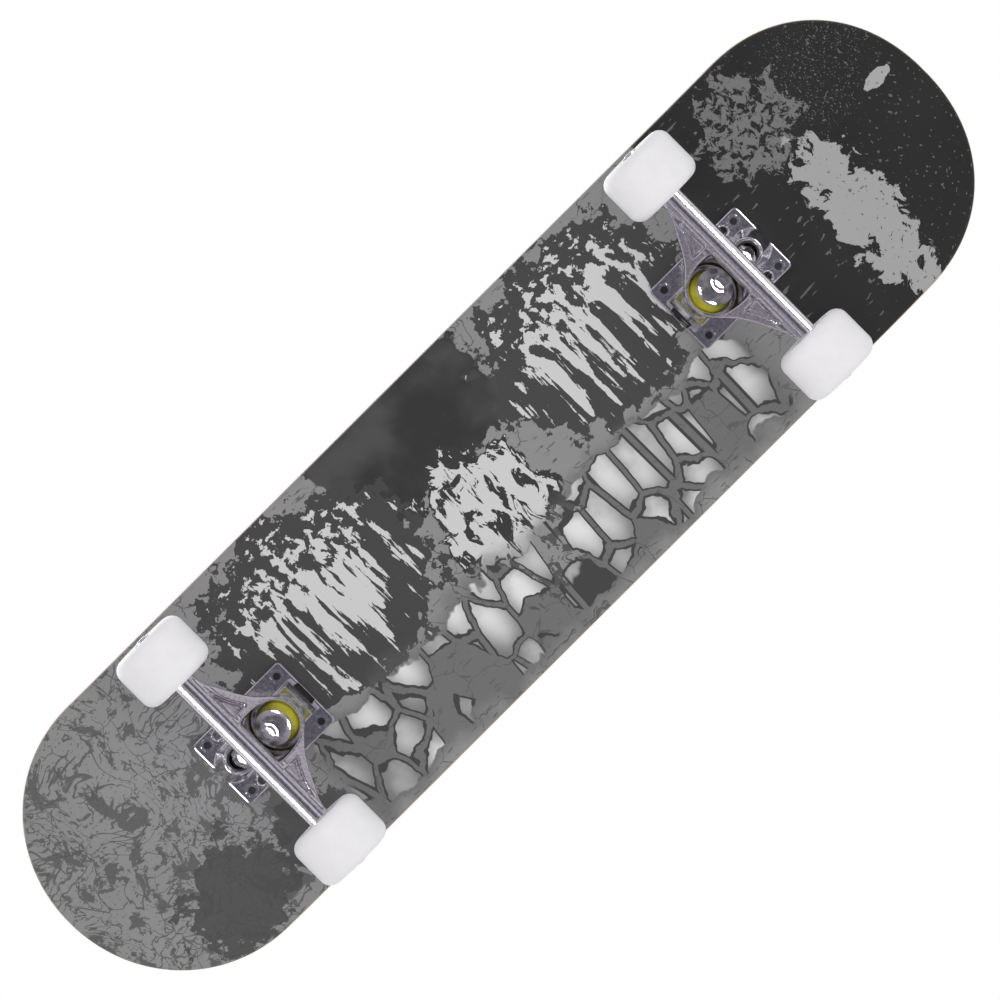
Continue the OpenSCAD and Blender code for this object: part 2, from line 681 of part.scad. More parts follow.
module at_balls() for (i = [0:ball_count - 1]) rotate(i * 360 / ball_count)
    translate([ball_track_r, 0, 0]) children();

module bearing_balls(w) color("silver") at_wheel(w) at_bearings() at_balls() sphere(r = ball_d / 2);

// Crown cage with its closed side towards the middle of the wheel
module bearing_cages(w) color("ivory") at_wheel(w) at_bearings() difference() {
    translate([0, 0, -ball_d / 2 - cage_wall])
        tube(ball_track_r + cage_wall, ball_track_r - cage_wall, ball_d / 2 + cage_reach);
    at_balls() sphere(r = ball_d / 2 + 2 * press_gap);
}

// ---------- Wheels ----------

module wheel(w) {
    half = wheel_w / 2;
    r = wheel_d / 2;
    seat_end = spacer_len / 2 + bearing_w;
    color("white") at_wheel(w) difference() {
        union() {
            translate([0, 0, -half + lip_r]) cylinder(r = r, h = wheel_w - 2 * lip_r, $fn = 128);
            translate([0, 0, -half]) cylinder(r = r - lip_r, h = wheel_w, $fn = 128);
            for (m = [0, 1]) mirror([0, 0, m]) translate([0, 0, half - lip_r])
                rotate_extrude($fn = 128) translate([r - lip_r, 0]) intersection() {
                    circle(r = lip_r);
                    square(lip_r);
                }
        }
        translate([0, 0, -half - past]) cylinder(r = bearing_d / 2 - core_wall, h = wheel_w + 2 * past);
        for (m = [0, 1]) mirror([0, 0, m]) {
            translate([0, 0, spacer_len / 2]) cylinder(r = bearing_d / 2 + press_gap, h = half);
            translate([0, 0, seat_end + seat_lip])
                cylinder(r1 = bearing_d / 2 + seat_mouth, r2 = bearing_d / 2 + dish_step,
                    h = half - seat_end);
            translate([0, 0, half - dish_depth])
                cylinder(r1 = bearing_d / 2 + dish_step, r2 = r - lip_r - dish_edge, h = dish_depth + 0.01);
        }
    }
}

// ---------- Nodes ----------

for (i = [1:PLIES]) deck_ply(i);
grip_tape();
for (t = TRUCKS) {
    mounting_bolts(t);
    mounting_nuts(t);
    baseplate(t);
    pivot_cup(t);
    kingpin(t);
    kingpin_nut(t);
    cup_washers(t);
    lower_bushing(t);
    upper_bushing(t);
    hanger(t);
    axle(t);
    speed_washers(t);
    axle_nuts(t);
    bearing_inner_rings(t);
    bearing_spacers(t);
}
for (w = WHEELS) {
    wheel(w);
    bearing_outer_rings(w);
    bearing_shields(w);
    bearing_balls(w);
    bearing_cages(w);
}
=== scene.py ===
import json
import math

import bpy
import numpy as np
from mathutils import Matrix, Vector


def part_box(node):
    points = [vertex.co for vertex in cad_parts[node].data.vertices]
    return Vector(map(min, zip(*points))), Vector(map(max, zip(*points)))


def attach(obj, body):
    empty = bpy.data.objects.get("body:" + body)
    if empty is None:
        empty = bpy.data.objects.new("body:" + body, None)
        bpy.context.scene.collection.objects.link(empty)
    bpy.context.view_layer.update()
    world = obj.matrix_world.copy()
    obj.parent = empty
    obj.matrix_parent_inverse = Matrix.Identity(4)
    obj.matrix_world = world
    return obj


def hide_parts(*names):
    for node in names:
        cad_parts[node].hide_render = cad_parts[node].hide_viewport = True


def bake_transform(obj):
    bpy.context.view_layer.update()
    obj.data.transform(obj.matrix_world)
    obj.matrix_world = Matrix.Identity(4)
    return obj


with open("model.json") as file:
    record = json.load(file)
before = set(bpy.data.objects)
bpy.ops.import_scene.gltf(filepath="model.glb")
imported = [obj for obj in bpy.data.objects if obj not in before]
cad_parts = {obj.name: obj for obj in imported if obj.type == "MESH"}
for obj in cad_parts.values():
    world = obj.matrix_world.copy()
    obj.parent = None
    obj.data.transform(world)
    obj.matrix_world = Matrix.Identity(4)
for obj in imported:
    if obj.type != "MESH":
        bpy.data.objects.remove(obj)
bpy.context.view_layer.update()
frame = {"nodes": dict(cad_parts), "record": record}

# ---------- Sizes in metres, the same values as the frame was designed with ----------

MM = 0.001

# Deck: outline, concave and kicks
DECK_HALF_LENGTH = 393.7 * MM
DECK_HALF_WIDTH = 101.6 * MM
DECK_THICKNESS = 10.8 * MM
PLY_THICKNESS = 1.5 * MM
GLUE_THICKNESS = 0.05 * MM
GRIP_THICKNESS = 0.9 * MM
GRIP_INSET = 0.6 * MM
FLAT_WIDTH = 60 * MM
CONCAVE_HEIGHT = 9 * MM
NOSE_ANGLE = math.radians(20)
TAIL_ANGLE = math.radians(19)
NOSE_BEND = 248.85 * MM
TAIL_BEND = 261.25 * MM
KICK_RADIUS = 105 * MM
NOSE_ROUND = 99 * MM
TAIL_ROUND = 100 * MM
NOSE_SQUARENESS = 2.15
TAIL_SQUARENESS = 2.03
TIP_ANGLE = math.radians(87.5)
EDGE_RADIUS = 6.5 * MM
RIDE_HEIGHT = 81 * MM
PLIES = 7

# Grid of a deck layer
END_ROWS = 56
MIDDLE_ROWS = 72
COLUMNS = 73

# Mounting bolts
BOLT_X = 20.65 * MM
BOLT_Y_STEP = 31.75 * MM
TRUCK_Y = {"front": 203.35 * MM, "rear": -215.75 * MM}
BOLT_HEAD_RADIUS = 4.8 * MM
DIMPLE_REACH = 1.4 * MM
DIMPLE_DEPTH = 0.35 * MM
DIMPLE_GRID = 0.7 * MM
DIMPLE_GRID_SHARE = 0.007

# Truck: ring, kingpin and bushings. Outwards is +Y at the front and -Y at the rear
OUTWARDS = {"front": 1, "rear": -1}
RING_INWARDS = 13 * MM
RING_DROP = 30 * MM
KINGPIN_ANGLE = math.atan2(18, 38)
RING_HALF_SEAT = 2.3 * MM
BUSHING_RADIUS = 14 * MM
BUSHING_BORE_RADIUS = 4.85 * MM
LOWER_BUSHING_HEIGHT = 11.5 * MM
UPPER_BUSHING_HEIGHT = 10 * MM
BUSHING_END_RADIUS = 11.1 * MM

# Bushings: radius aimed for at the waist, and the details of the side
LOWER_BUSHING_WAIST = 13 * MM
UPPER_BUSHING_WAIST = 12.4 * MM
BUSHING_CORNER = 0.9 * MM
BUSHING_COLLAR = 2.4 * MM
BUSHING_BULGE = 0.35 * MM
BUSHING_TAPER_GAP = 0.6 * MM
BUSHING_TAPER_FLARE = 0.25 * MM
WAIST_SHARE = 0.15

# Wheels
WHEEL_RADIUS = 28 * MM
WHEEL_HALF_WIDTH = 19 * MM
WHEEL_LIP = 8.5 * MM
WHEEL_CORE_RADIUS = 9.4 * MM
BEARING_SEAT_RADIUS = 11.02 * MM
BEARING_SEAT_START = 5 * MM
BEARING_SEAT_END = 12 * MM

# Wheel face: mouth of the bearing seat, then the dish out to the lip
BORE_MOUTH_RADIUS = 11.6 * MM
BORE_MOUTH_START = 0.7 * MM
BORE_MOUTH_END = 0.8 * MM
DISH_RIM_RADIUS = 18.9 * MM
DISH_RIM_DEPTH = 0.15 * MM
DISH_HUB_RADIUS = 12.8 * MM
DISH_HUB_DEPTH = 1.2 * MM

# Castings: size of the modelling grid, and how many times the corners are eased
CASTINGS = {"hanger": (0.65 * MM, 6), "baseplate": (0.55 * MM, 4)}

# View from below
VIEW_TURN = math.radians(44.87)
VIEW_TILT = math.radians(2.5)
VIEW_DISTANCE = 12.0
VIEW_CENTRE = (-1.1 * MM, -0.2 * MM)
LENS = 664.3
SENSOR = 36.0


# ---------- Meshes ----------

def mesh_object(name, points, faces, sharp=35):
    """A mesh object at the origin, smooth except along edges sharper than the given angle."""
    mesh = bpy.data.meshes.new(name)
    mesh.from_pydata(points.tolist(), [], faces.tolist())
    mesh.update()
    mesh.polygons.foreach_set("use_smooth", np.ones(len(mesh.polygons), dtype=bool))
    mesh.set_sharp_from_angle(angle=math.radians(sharp))
    piece = bpy.data.objects.new(name, mesh)
    bpy.context.scene.collection.objects.link(piece)
    return piece


def ring_faces(rows, columns, close_rows=False):
    """Quads between neighbouring rows of a grid whose every row is a closed loop of columns points."""
    row = np.arange(rows if close_rows else rows - 1)[:, None]
    column = np.arange(columns)[None, :]
    after = (column + 1) % columns
    below = (row + 1) % rows
    corners = [row * columns + column, below * columns + column, below * columns + after,
               row * columns + after]
    return np.stack([np.broadcast_to(c, (len(row), columns)) for c in corners], axis=-1).reshape(-1, 4)


def arc(centre, radius, start, end, steps):
    """Points on a circle about centre, from one angle in degrees to another."""
    angle = np.radians(np.linspace(start, end, steps))
    return np.stack([centre[0] + radius * np.cos(angle), centre[1] + radius * np.sin(angle)], axis=1)


def lathe(name, profile, centre, axis, segments=128, sharp=35):
    """A closed profile of (along the axis, radius) points, turned once about the axis through centre:
    each point is centre + along * axis + radius * (cos a * side + sin a * up)."""
    axis = np.array(axis) / np.linalg.norm(axis)
    side = np.cross(axis, [0.0, 0.0, 1.0] if abs(axis[2]) < 0.9 else [0.0, 1.0, 0.0])
    side /= np.linalg.norm(side)
    up = np.cross(axis, side)
    angle = np.linspace(0, 2 * math.pi, segments, endpoint=False)[None, :, None]
    along = profile[:, 0][:, None, None]
    radius = profile[:, 1][:, None, None]
    points = np.array(centre) + along * axis + radius * (np.cos(angle) * side + np.sin(angle) * up)
    faces = ring_faces(len(profile), segments, close_rows=True)
    return mesh_object(name, points.reshape(-1, 3), faces, sharp)


# ---------- Deck ----------

def kick_rise(reach, angle):
    """Height and slope of a kick: flat up to 0, then an arc of KICK_RADIUS, then a straight ramp."""
    bend = KICK_RADIUS * math.sin(angle)
    on_arc = np.clip(reach, 0, bend)
    past = np.maximum(reach - bend, 0)
    root = np.sqrt(KICK_RADIUS ** 2 - on_arc ** 2)
    return KICK_RADIUS - root + past * math.tan(angle), on_arc / root


def deck_point(x, y, height):
    """The deck's sheet at (x, y), a height above its underside. The underside is the sum of the
    concave, an arc each side of the flat, and the two kicks. The point stands off along the sheet's
    normal, measured at half thickness so that the outline stays true there."""
    edge = DECK_HALF_WIDTH - FLAT_WIDTH / 2
    concave_radius = (edge ** 2 + CONCAVE_HEIGHT ** 2) / (2 * CONCAVE_HEIGHT)
    side = np.maximum(np.abs(x) - FLAT_WIDTH / 2, 0)
    root = np.sqrt(concave_radius ** 2 - side ** 2)
    nose_rise, nose_slope = kick_rise(y - NOSE_BEND, NOSE_ANGLE)
    tail_rise, tail_slope = kick_rise(-y - TAIL_BEND, TAIL_ANGLE)
    slope_x = np.sign(x) * side / root
    slope_y = nose_slope - tail_slope
    length = np.sqrt(1 + slope_x ** 2 + slope_y ** 2)
    lift = height - DECK_THICKNESS / 2
    z = RIDE_HEIGHT + concave_radius - root + nose_rise + tail_rise + height / length
    return np.stack([x - lift * slope_x / length, y - lift * slope_y / length, z], axis=-1)


def edge_inset(height):
    """How far the rounded rail draws in at a height above the underside."""
    return EDGE_RADIUS - math.sqrt(EDGE_RADIUS ** 2 - (height - DECK_THICKNESS / 2) ** 2)


def round_end(share, squareness):
    """Half width of a deck's end, from 1 where it starts to nearly 0 at the tip."""
    return (1 - math.sin(TIP_ANGLE) ** 2 * share ** squareness) ** (1 / squareness)


def outline_rows(inset, middle):
    """Stations along the deck as (y, half width) for one inset: tail end, straight middle, nose end."""
    ease = np.sin(np.linspace(0, math.pi / 2, END_ROWS))
    tail = ease ** (2 / TAIL_SQUARENESS)
    nose = ease ** (2 / NOSE_SQUARENESS)
    wide = DECK_HALF_WIDTH - inset
    tail_y = -(DECK_HALF_LENGTH - TAIL_ROUND + tail * (TAIL_ROUND - inset))
    nose_y = DECK_HALF_LENGTH - NOSE_ROUND + nose * (NOSE_ROUND - inset)
    y = np.concatenate([tail_y[::-1], middle, nose_y])
    half = np.concatenate([wide * round_end(tail, TAIL_SQUARENESS)[::-1], np.full(len(middle), wide),
                           wide * round_end(nose, NOSE_SQUARENESS)])
    return y, half


def bolt_places():
    """(x, y) of the eight bolts."""
    return [(x * BOLT_X, y + step * BOLT_Y_STEP) for y in TRUCK_Y.values() for x in (-1, 1)
            for step in (-1, 1)]


def bolt_dimple(x, y):
    """Depth that the grip tape is drawn down round each bolt head: full on the head, eased to
    nothing over DIMPLE_REACH."""
    depth = np.zeros_like(x)
    for bolt_x, bolt_y in bolt_places():
        gap = np.hypot(x - bolt_x, y - bolt_y) - BOLT_HEAD_RADIUS
        depth = np.maximum(depth, DIMPLE_DEPTH * np.clip(1 - gap / DIMPLE_REACH, 0, 1))
    return depth


def fine_steps(coarse, places, reach, step):
    """Coarse stations with fine ones added within reach of each place."""
    close = [np.arange(place - reach, place + reach, step) for place in places]
    return np.unique(np.round(np.concatenate([coarse] + close), 6))


def deck_layer(name, low, high, inset, dimpled=False):
    """One closed layer of the deck between two heights above the underside. A row of the grid is a
    loop across the deck: the lower face from left to right, then the upper face back."""
    tail_start = TAIL_ROUND - DECK_HALF_LENGTH
    nose_start = DECK_HALF_LENGTH - NOSE_ROUND
    middle = np.linspace(tail_start, nose_start, MIDDLE_ROWS)[1:-1]
    across = np.linspace(-1, 1, COLUMNS)
    if dimpled:
        near = BOLT_HEAD_RADIUS + 2 * DIMPLE_REACH
        middle = fine_steps(middle, {y for _, y in bolt_places()}, near, DIMPLE_GRID)
        shares = [side * BOLT_X / (DECK_HALF_WIDTH - inset) for side in (-1, 1)]
        across = fine_steps(across, shares, near / DECK_HALF_WIDTH, DIMPLE_GRID_SHARE)
    faces_of = []
    for height in (low, high):
        y, half = outline_rows(inset + edge_inset(min(height, DECK_THICKNESS)), middle)
        x = across[None, :] * half[:, None]
        y = np.broadcast_to(y[:, None], x.shape)
        height = np.full(x.shape, height)
        if dimpled:
            height = height - bolt_dimple(x, y) * (height > low)
        faces_of.append(deck_point(x, y, height))
    points = np.concatenate([faces_of[0], faces_of[1][:, ::-1]], axis=1)
    rows, columns = points.shape[:2]
    faces = ring_faces(rows, columns)[:, ::-1]
    step = np.arange(columns // 2 - 1)
    cap = np.stack([step, step + 1, columns - 2 - step, columns - 1 - step], axis=-1)
    end = (rows - 1) * columns
    all_faces = np.concatenate([faces, cap[:, ::-1], cap + end])
    return mesh_object(name, points.reshape(-1, 3), all_faces, sharp=50)


def build_deck():
    """Seven veneers and the grip tape, each standing for its plain layer."""
    slots = ["deck_underside", "maple_light", "maple_dark", "maple_light", "maple_light", "maple_dark",
             "maple_light"]
    pitch = PLY_THICKNESS + GLUE_THICKNESS
    for number, slot in enumerate(slots):
        low = number * pitch
        high = low + PLY_THICKNESS if number == PLIES - 1 else low + pitch
        place(deck_layer(f"veneer_{number + 1}", low, high, 0), "deck", slot, f"deck_ply_{number + 1}")
    low = DECK_THICKNESS + GLUE_THICKNESS
    inset = GRIP_INSET
    place(deck_layer("grip_sheet", low, low + GRIP_THICKNESS, inset, dimpled=True), "deck", "grip",
          "grip_tape")


# ---------- Bushings and wheels ----------

def bushing_profile(height, waist):
    """Seat end at 0: a straight collar, then a straight taper to the washer end plus half a sine wave
    of bulge. Quarter circles round the corners."""
    corner = BUSHING_CORNER
    low_arc = arc((corner, BUSHING_RADIUS - corner), corner, 180, 90, 6)
    top_arc = arc((height - corner, BUSHING_END_RADIUS - corner), corner, 90, 0, 6)
    taper = np.linspace(0, 1, 9)[1:-1]
    wave = np.sin(taper * math.pi)
    start = np.array([BUSHING_COLLAR, BUSHING_RADIUS])
    end = np.array([height - corner - BUSHING_TAPER_GAP, BUSHING_END_RADIUS + BUSHING_TAPER_FLARE])
    side = start + taper[:, None] * (end - start)
    side[:, 1] += wave * BUSHING_BULGE + (waist - BUSHING_END_RADIUS) * wave * WAIST_SHARE
    inner = np.array([[height, BUSHING_BORE_RADIUS], [0, BUSHING_BORE_RADIUS]])
    return np.concatenate([low_arc, [start], side, [end], top_arc, inner])


def build_bushings(truck):
    """Both bushings of a truck, turned about the kingpin's axis, each standing for its plain part."""
    out = OUTWARDS[truck]
    centre = np.array([0, TRUCK_Y[truck] - out * RING_INWARDS, RIDE_HEIGHT - RING_DROP])
    down = np.array([0, out * math.sin(KINGPIN_ANGLE), -math.cos(KINGPIN_ANGLE)])
    shapes = {"lower": (-1, LOWER_BUSHING_HEIGHT, LOWER_BUSHING_WAIST),
              "upper": (1, UPPER_BUSHING_HEIGHT, UPPER_BUSHING_WAIST)}
    for which, (way, height, waist) in shapes.items():
        axis = way * down
        seat = centre + axis * RING_HALF_SEAT
        name = f"{truck}_{which}_bushing"
        piece = lathe(f"{name}_cushion", bushing_profile(height, waist), seat, axis, 96, 45)
        turn_outwards(piece)
        finish_piece(piece, "bushing_urethane", name)
        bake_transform(piece)


def wheel_profile():
    """Half a wheel from its middle out: tread, round lip, dished face, bearing seat, core. The other
    half is its mirror image."""
    lip = arc((WHEEL_HALF_WIDTH - WHEEL_LIP, WHEEL_RADIUS - WHEEL_LIP), WHEEL_LIP, 90, 0, 18)
    dish = [[WHEEL_HALF_WIDTH - DISH_RIM_DEPTH, DISH_RIM_RADIUS],
            [WHEEL_HALF_WIDTH - DISH_HUB_DEPTH, DISH_HUB_RADIUS],
            [BEARING_SEAT_END + BORE_MOUTH_END, BORE_MOUTH_RADIUS],
            [BEARING_SEAT_END + BORE_MOUTH_START, BEARING_SEAT_RADIUS],
            [BEARING_SEAT_START, BEARING_SEAT_RADIUS], [BEARING_SEAT_START, WHEEL_CORE_RADIUS]]
    half = np.concatenate([[[0, WHEEL_RADIUS]], lip, dish])
    return np.concatenate([half, half[:0:-1] * [-1, 1]])


def build_wheels():
    """Four urethane wheels, turned about their axles."""
    for truck in ("front", "rear"):
        for side in ("left", "right"):
            name = f"{truck}_{side}_wheel"
            low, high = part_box(name)
            centre = [(a + b) / 2 for a, b in zip(low, high)]
            piece = lathe(f"{name}_urethane", wheel_profile(), centre, (1, 0, 0))
            turn_outwards(piece)
            place(piece, f"{name}_assembly", "wheel_urethane", name)


def turn_outwards(piece):
    """Points every face of a closed mesh outwards."""
    bpy.context.view_layer.objects.active = piece
    piece.select_set(True)
    bpy.ops.object.mode_set(mode="EDIT")
    bpy.ops.mesh.select_all(action="SELECT")
    bpy.ops.mesh.normals_make_consistent(inside=False)
    bpy.ops.object.mode_set(mode="OBJECT")
    piece.select_set(False)


# ---------- Castings ----------

def soften_casting(node, voxel, passes):
    """Rounds the corners of a cast part as moulding and tumbling do."""
    casting = frame["nodes"][node]
    grid = casting.modifiers.new("cast_grid", "REMESH")
    grid.mode = "VOXEL"
    grid.voxel_size = voxel
    grid.use_smooth_shade = True
    soft = casting.modifiers.new("tumbled", "SMOOTH")
    soft.factor = 0.5
    soft.iterations = passes


# ---------- Attaching ----------

def finish_piece(piece, slot, *nodes):
    """Gives a new piece its finish and hides the plain parts it stands for."""
    piece.data.materials.append(materials[slot])
    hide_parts(*nodes)


def place(piece, body, slot, *nodes):
    """A rigid new piece: its finish, the parts it stands for and the body it moves with."""
    finish_piece(piece, slot, *nodes)
    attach(piece, body)


# ---------- Shader helpers ----------

def linear(level):
    """A grey as the eye grades it, 0 to 1, as the linear value that shaders use."""
    return ((level + 0.055) / 1.055) ** 2.4


def grey(level, warmth=0.0):
    """An opaque grey colour, a touch warmer or cooler."""
    value = linear(level)
    return (value * (1 + warmth), value, value * (1 - warmth), 1.0)


class Shader:
    """Short calls that add nodes to one tree and give back their outputs."""

    def __init__(self, tree):
        self.tree = tree

    def node(self, kind, **settings):
        made = self.tree.nodes.new(kind)
        for name, value in settings.items():
            setattr(made, name, value)
        return made

    def feed(self, socket, value):
        if isinstance(value, bpy.types.NodeSocket):
            self.tree.links.new(value, socket)
        else:
            socket.default_value = value

    def maths(self, operation, first, second=0.0, third=0.0):
        made = self.node("ShaderNodeMath", operation=operation)
        for socket, value in zip(made.inputs, (first, second, third)):
            self.feed(socket, value)
        return made.outputs[0]

    def times(self, *values):
        total = values[0]
        for value in values[1:]:
            total = self.maths("MULTIPLY", total, value)
        return total

    def most(self, *values):
        total = values[0]
        for value in values[1:]:
            total = self.maths("MAXIMUM", total, value)
        return total

    def fade(self, value, low, high):
        """0 at low, 1 at high, eased between."""
        made = self.node("ShaderNodeMapRange", interpolation_type="SMOOTHSTEP")
        self.feed(made.inputs["Value"], value)
        self.feed(made.inputs["From Min"], low)
        self.feed(made.inputs["From Max"], high)
        return made.outputs["Result"]

    def between(self, value, low, high, soft):
        """1 between low and high, with soft edges."""
        rise = self.fade(value, low - soft, low + soft)
        fall = self.fade(value, high + soft, high - soft)
        return self.times(rise, fall)

    def paint(self, under, over, mask):
        made = self.node("ShaderNodeMix", data_type="RGBA")
        self.feed(made.inputs[0], mask)
        self.feed(made.inputs[6], under)
        self.feed(made.inputs[7], over)
        return made.outputs[2]

    def vector(self, x, y, z=0.0):
        made = self.node("ShaderNodeCombineXYZ")
        for socket, value in zip(made.inputs, (x, y, z)):
            self.feed(socket, value)
        return made.outputs[0]

    def parts(self, vector):
        made = self.node("ShaderNodeSeparateXYZ")
        self.feed(made.inputs[0], vector)
        return made.outputs

    def mapping(self, vector, scale=(1, 1, 1), turn=0.0):
        made = self.node("ShaderNodeMapping")
        self.feed(made.inputs["Vector"], vector)
        made.inputs["Scale"].default_value = scale
        made.inputs["Rotation"].default_value = (0, 0, math.radians(turn))
        return made.outputs[0]

    def noise(self, place, scale, detail=2.0, roughness=0.5, distortion=0.0):
        made = self.node("ShaderNodeTexNoise")
        self.feed(made.inputs["Vector"], place)
        self.feed(made.inputs["Scale"], scale)
        made.inputs["Detail"].default_value = detail
        made.inputs["Roughness"].default_value = roughness
        made.inputs["Distortion"].default_value = distortion
        return made.outputs[0]

    def cells(self, place, scale, feature="DISTANCE_TO_EDGE"):
        made = self.node("ShaderNodeTexVoronoi", feature=feature)
        self.feed(made.inputs["Vector"], place)
        self.feed(made.inputs["Scale"], scale)
        return made

    def millimetres(self):
        coordinates = self.node("ShaderNodeTexCoord")
        return self.mapping(coordinates.outputs["Object"], (1000, 1000, 1000))


def new_group(name, inputs, outputs):
    """An empty shader group with named number or colour sockets."""
    tree = bpy.data.node_groups.new(name, "ShaderNodeTree")
    kinds = {"number": "NodeSocketFloat", "colour": "NodeSocketColor"}
    for socket, kind in inputs.items():
        tree.interface.new_socket(socket, in_out="INPUT", socket_type=kinds[kind])
    for socket, kind in outputs.items():
        tree.interface.new_socket(socket, in_out="OUTPUT", socket_type=kinds[kind])
    shader = Shader(tree)
    return tree, shader, shader.node("NodeGroupInput").outputs, shader.node("NodeGroupOutput").inputs


def make_surface_marks():
    """Fine unevenness that every finish has: cloudy roughness, hairlines and specks."""
    tree, s, given, out = new_group(
        "surface_marks", {"Size": "number", "Roughness": "number", "Variation": "number"},
        {"Roughness": "number", "Height": "number", "Cloud": "number"})
    place = s.millimetres()
    scale = s.maths("DIVIDE", 1.0, given["Size"])
    cloud = s.noise(place, scale, 5.0, 0.6)
    hairline = s.noise(s.mapping(place, (0.15, 4, 1), 12), scale, 2.0, 0.6)
    both = s.maths("ADD", s.times(cloud, 0.7), s.times(hairline, 0.3))
    swing = s.times(s.maths("SUBTRACT", both, 0.5), given["Variation"])
    s.feed(out["Roughness"], s.maths("ADD", given["Roughness"], swing))
    s.feed(out["Height"], both)
    s.feed(out["Cloud"], cloud)
    return tree


def make_wood_grain():
    """Veneer grain along the board: long fibres, pores and slow bands of colour."""
    tree, s, given, out = new_group(
        "veneer_grain", {"Light": "colour", "Dark": "colour"},
        {"Color": "colour", "Roughness": "number", "Height": "number"})
    place = s.millimetres()
    fibre = s.noise(s.mapping(place, (1.4, 0.03, 1.4)), 1.0, 6.0, 0.65, 0.3)
    band = s.noise(s.mapping(place, (0.08, 0.006, 0.3)), 1.0, 3.0, 0.5)
    pore = s.fade(s.noise(s.mapping(place, (3.5, 0.12, 3.5)), 1.0, 1.0), 0.62, 0.7)
    tone = s.maths("ADD", s.times(fibre, 0.65), s.times(band, 0.35))
    colour = s.paint(given["Light"], given["Dark"], s.fade(tone, 0.38, 0.64))
    colour = s.paint(colour, given["Dark"], s.times(pore, 0.6))
    s.feed(out["Color"], colour)
    s.feed(out["Roughness"], s.maths("ADD", 0.48, s.times(fibre, 0.25)))
    s.feed(out["Height"], tone)
    return tree


groups = {"marks": make_surface_marks(), "grain": make_wood_grain()}


def new_material(name, **values):
    """A Principled material with its plain values set on the shader's own sockets."""
    material = bpy.data.materials.new(name)
    material.use_nodes = True
    s = Shader(material.node_tree)
    principled = material.node_tree.nodes["Principled BSDF"]
    for socket, value in values.items():
        principled.inputs[socket.replace("_", " ")].default_value = value
    return material, s, principled


def place_group(s, name, **values):
    """One use of a shader group with its own values."""
    made = s.node("ShaderNodeGroup", node_tree=groups[name])
    for socket, value in values.items():
        s.feed(made.inputs[socket], value)
    return made.outputs


def add_bump(s, principled, height, distance, strength=0.4):
    """Feeds a height to the shader's normal, with its depth in metres."""
    bump = s.node("ShaderNodeBump")
    bump.inputs["Strength"].default_value = strength
    bump.inputs["Distance"].default_value = distance
    s.feed(bump.inputs["Height"], height)
    s.feed(principled.inputs["Normal"], bump.outputs["Normal"])


def marked(name, colour, roughness, variation, size, depth, tone=0.06, **values):
    """A finish of one colour with cloudy tone, uneven roughness and fine relief."""
    material, s, principled = new_material(name, **values)
    marks = place_group(s, "marks", Size=size, Roughness=roughness, Variation=variation)
    deeper = tuple(channel * (1 - 3 * tone) for channel in colour[:3]) + (1.0,)
    shade = s.paint(deeper, colour, s.fade(marks["Cloud"], 0.35, 0.6))
    s.feed(principled.inputs["Base Color"], shade)
    s.feed(principled.inputs["Roughness"], marks["Roughness"])
    add_bump(s, principled, marks["Height"], depth)
    return material


# Heights in millimetres where the kingpin's yellow starts to wear and where it has gone
THREAD_TOP = 52
THREAD_WORN = 46


def kingpin_finish():
    """Yellow passivated steel on the head and shank, worn to bright steel on the threaded tip."""
    material, s, principled = new_material("steel_kingpin", Metallic=1.0)
    marks = place_group(s, "marks", Size=2.0, Roughness=0.24, Variation=0.18)
    height = s.parts(s.millimetres())[2]
    worn = s.fade(s.maths("ADD", height, s.times(marks["Cloud"], 6.0)), THREAD_TOP, THREAD_WORN)
    yellow = s.paint((0.42, 0.24, 0.07, 1), (0.74, 0.46, 0.13, 1), marks["Cloud"])
    s.feed(principled.inputs["Base Color"], s.paint(yellow, (0.72, 0.72, 0.74, 1), worn))
    s.feed(principled.inputs["Roughness"], marks["Roughness"])
    add_bump(s, principled, marks["Height"], 0.00003)
    return material


def veneer(name, light, dark):
    """Bare or dyed maple, sanded at the rail."""
    material, s, principled = new_material(name, Coat_Weight=0.08, Coat_Roughness=0.4)
    grain = place_group(s, "grain", Light=light, Dark=dark)
    s.feed(principled.inputs["Base Color"], grain["Color"])
    s.feed(principled.inputs["Roughness"], grain["Roughness"])
    add_bump(s, principled, grain["Height"], 0.00005)
    return material


def grit():
    """Grip tape: packed black grains, a few of them glossier and carrying a painted highlight in their
    colour.
    """
    material, s, principled = new_material("grip_grit", Specular_IOR_Level=0.4)
    place = s.millimetres()
    grains = s.cells(place, 2.2, "F1")
    tone = s.fade(s.noise(place, 0.05, 4.0), 0.3, 0.7)
    glint_glossy_and_painted = s.fade(s.noise(place, 5.0, 1.0), 0.66, 0.72)
    colour = s.paint(grey(0.10), grey(0.17), tone)
    # Glinting grains: a lighter grey is painted into the colour as a painted highlight, while the lower
    # roughness on the next line gives them real gloss.
    s.feed(principled.inputs["Base Color"], s.paint(colour, grey(0.55), s.times(glint_glossy_and_painted, 0.5)))
    s.feed(principled.inputs["Roughness"], s.maths("SUBTRACT", 0.92, s.times(glint_glossy_and_painted, 0.5)))
    add_bump(s, principled, s.maths("SUBTRACT", 1.0, grains.outputs["Distance"]), 0.0004, 0.9)
    return material


# ---------- Printed underside ----------

# Greys of the print, 0 to 1 on the even scale that linear() turns into shader values
DARK = 0.30
MID = 0.585
LIGHT = 0.85
CRACK = 0.40
DASH = 0.43
SKETCH = 0.37
WASH = 0.33
SPLASH_RIM = 0.25
SHARD_RIM = 0.29
SHARD_PALE = 0.93
SHARD_DEEP = 0.50
NOSE_PALE = 0.68
NOSE_STREAK = 0.70
NOSE_MID = 0.49
NOSE_DOTS = 0.47
NOSE_SCRATCH = 0.42

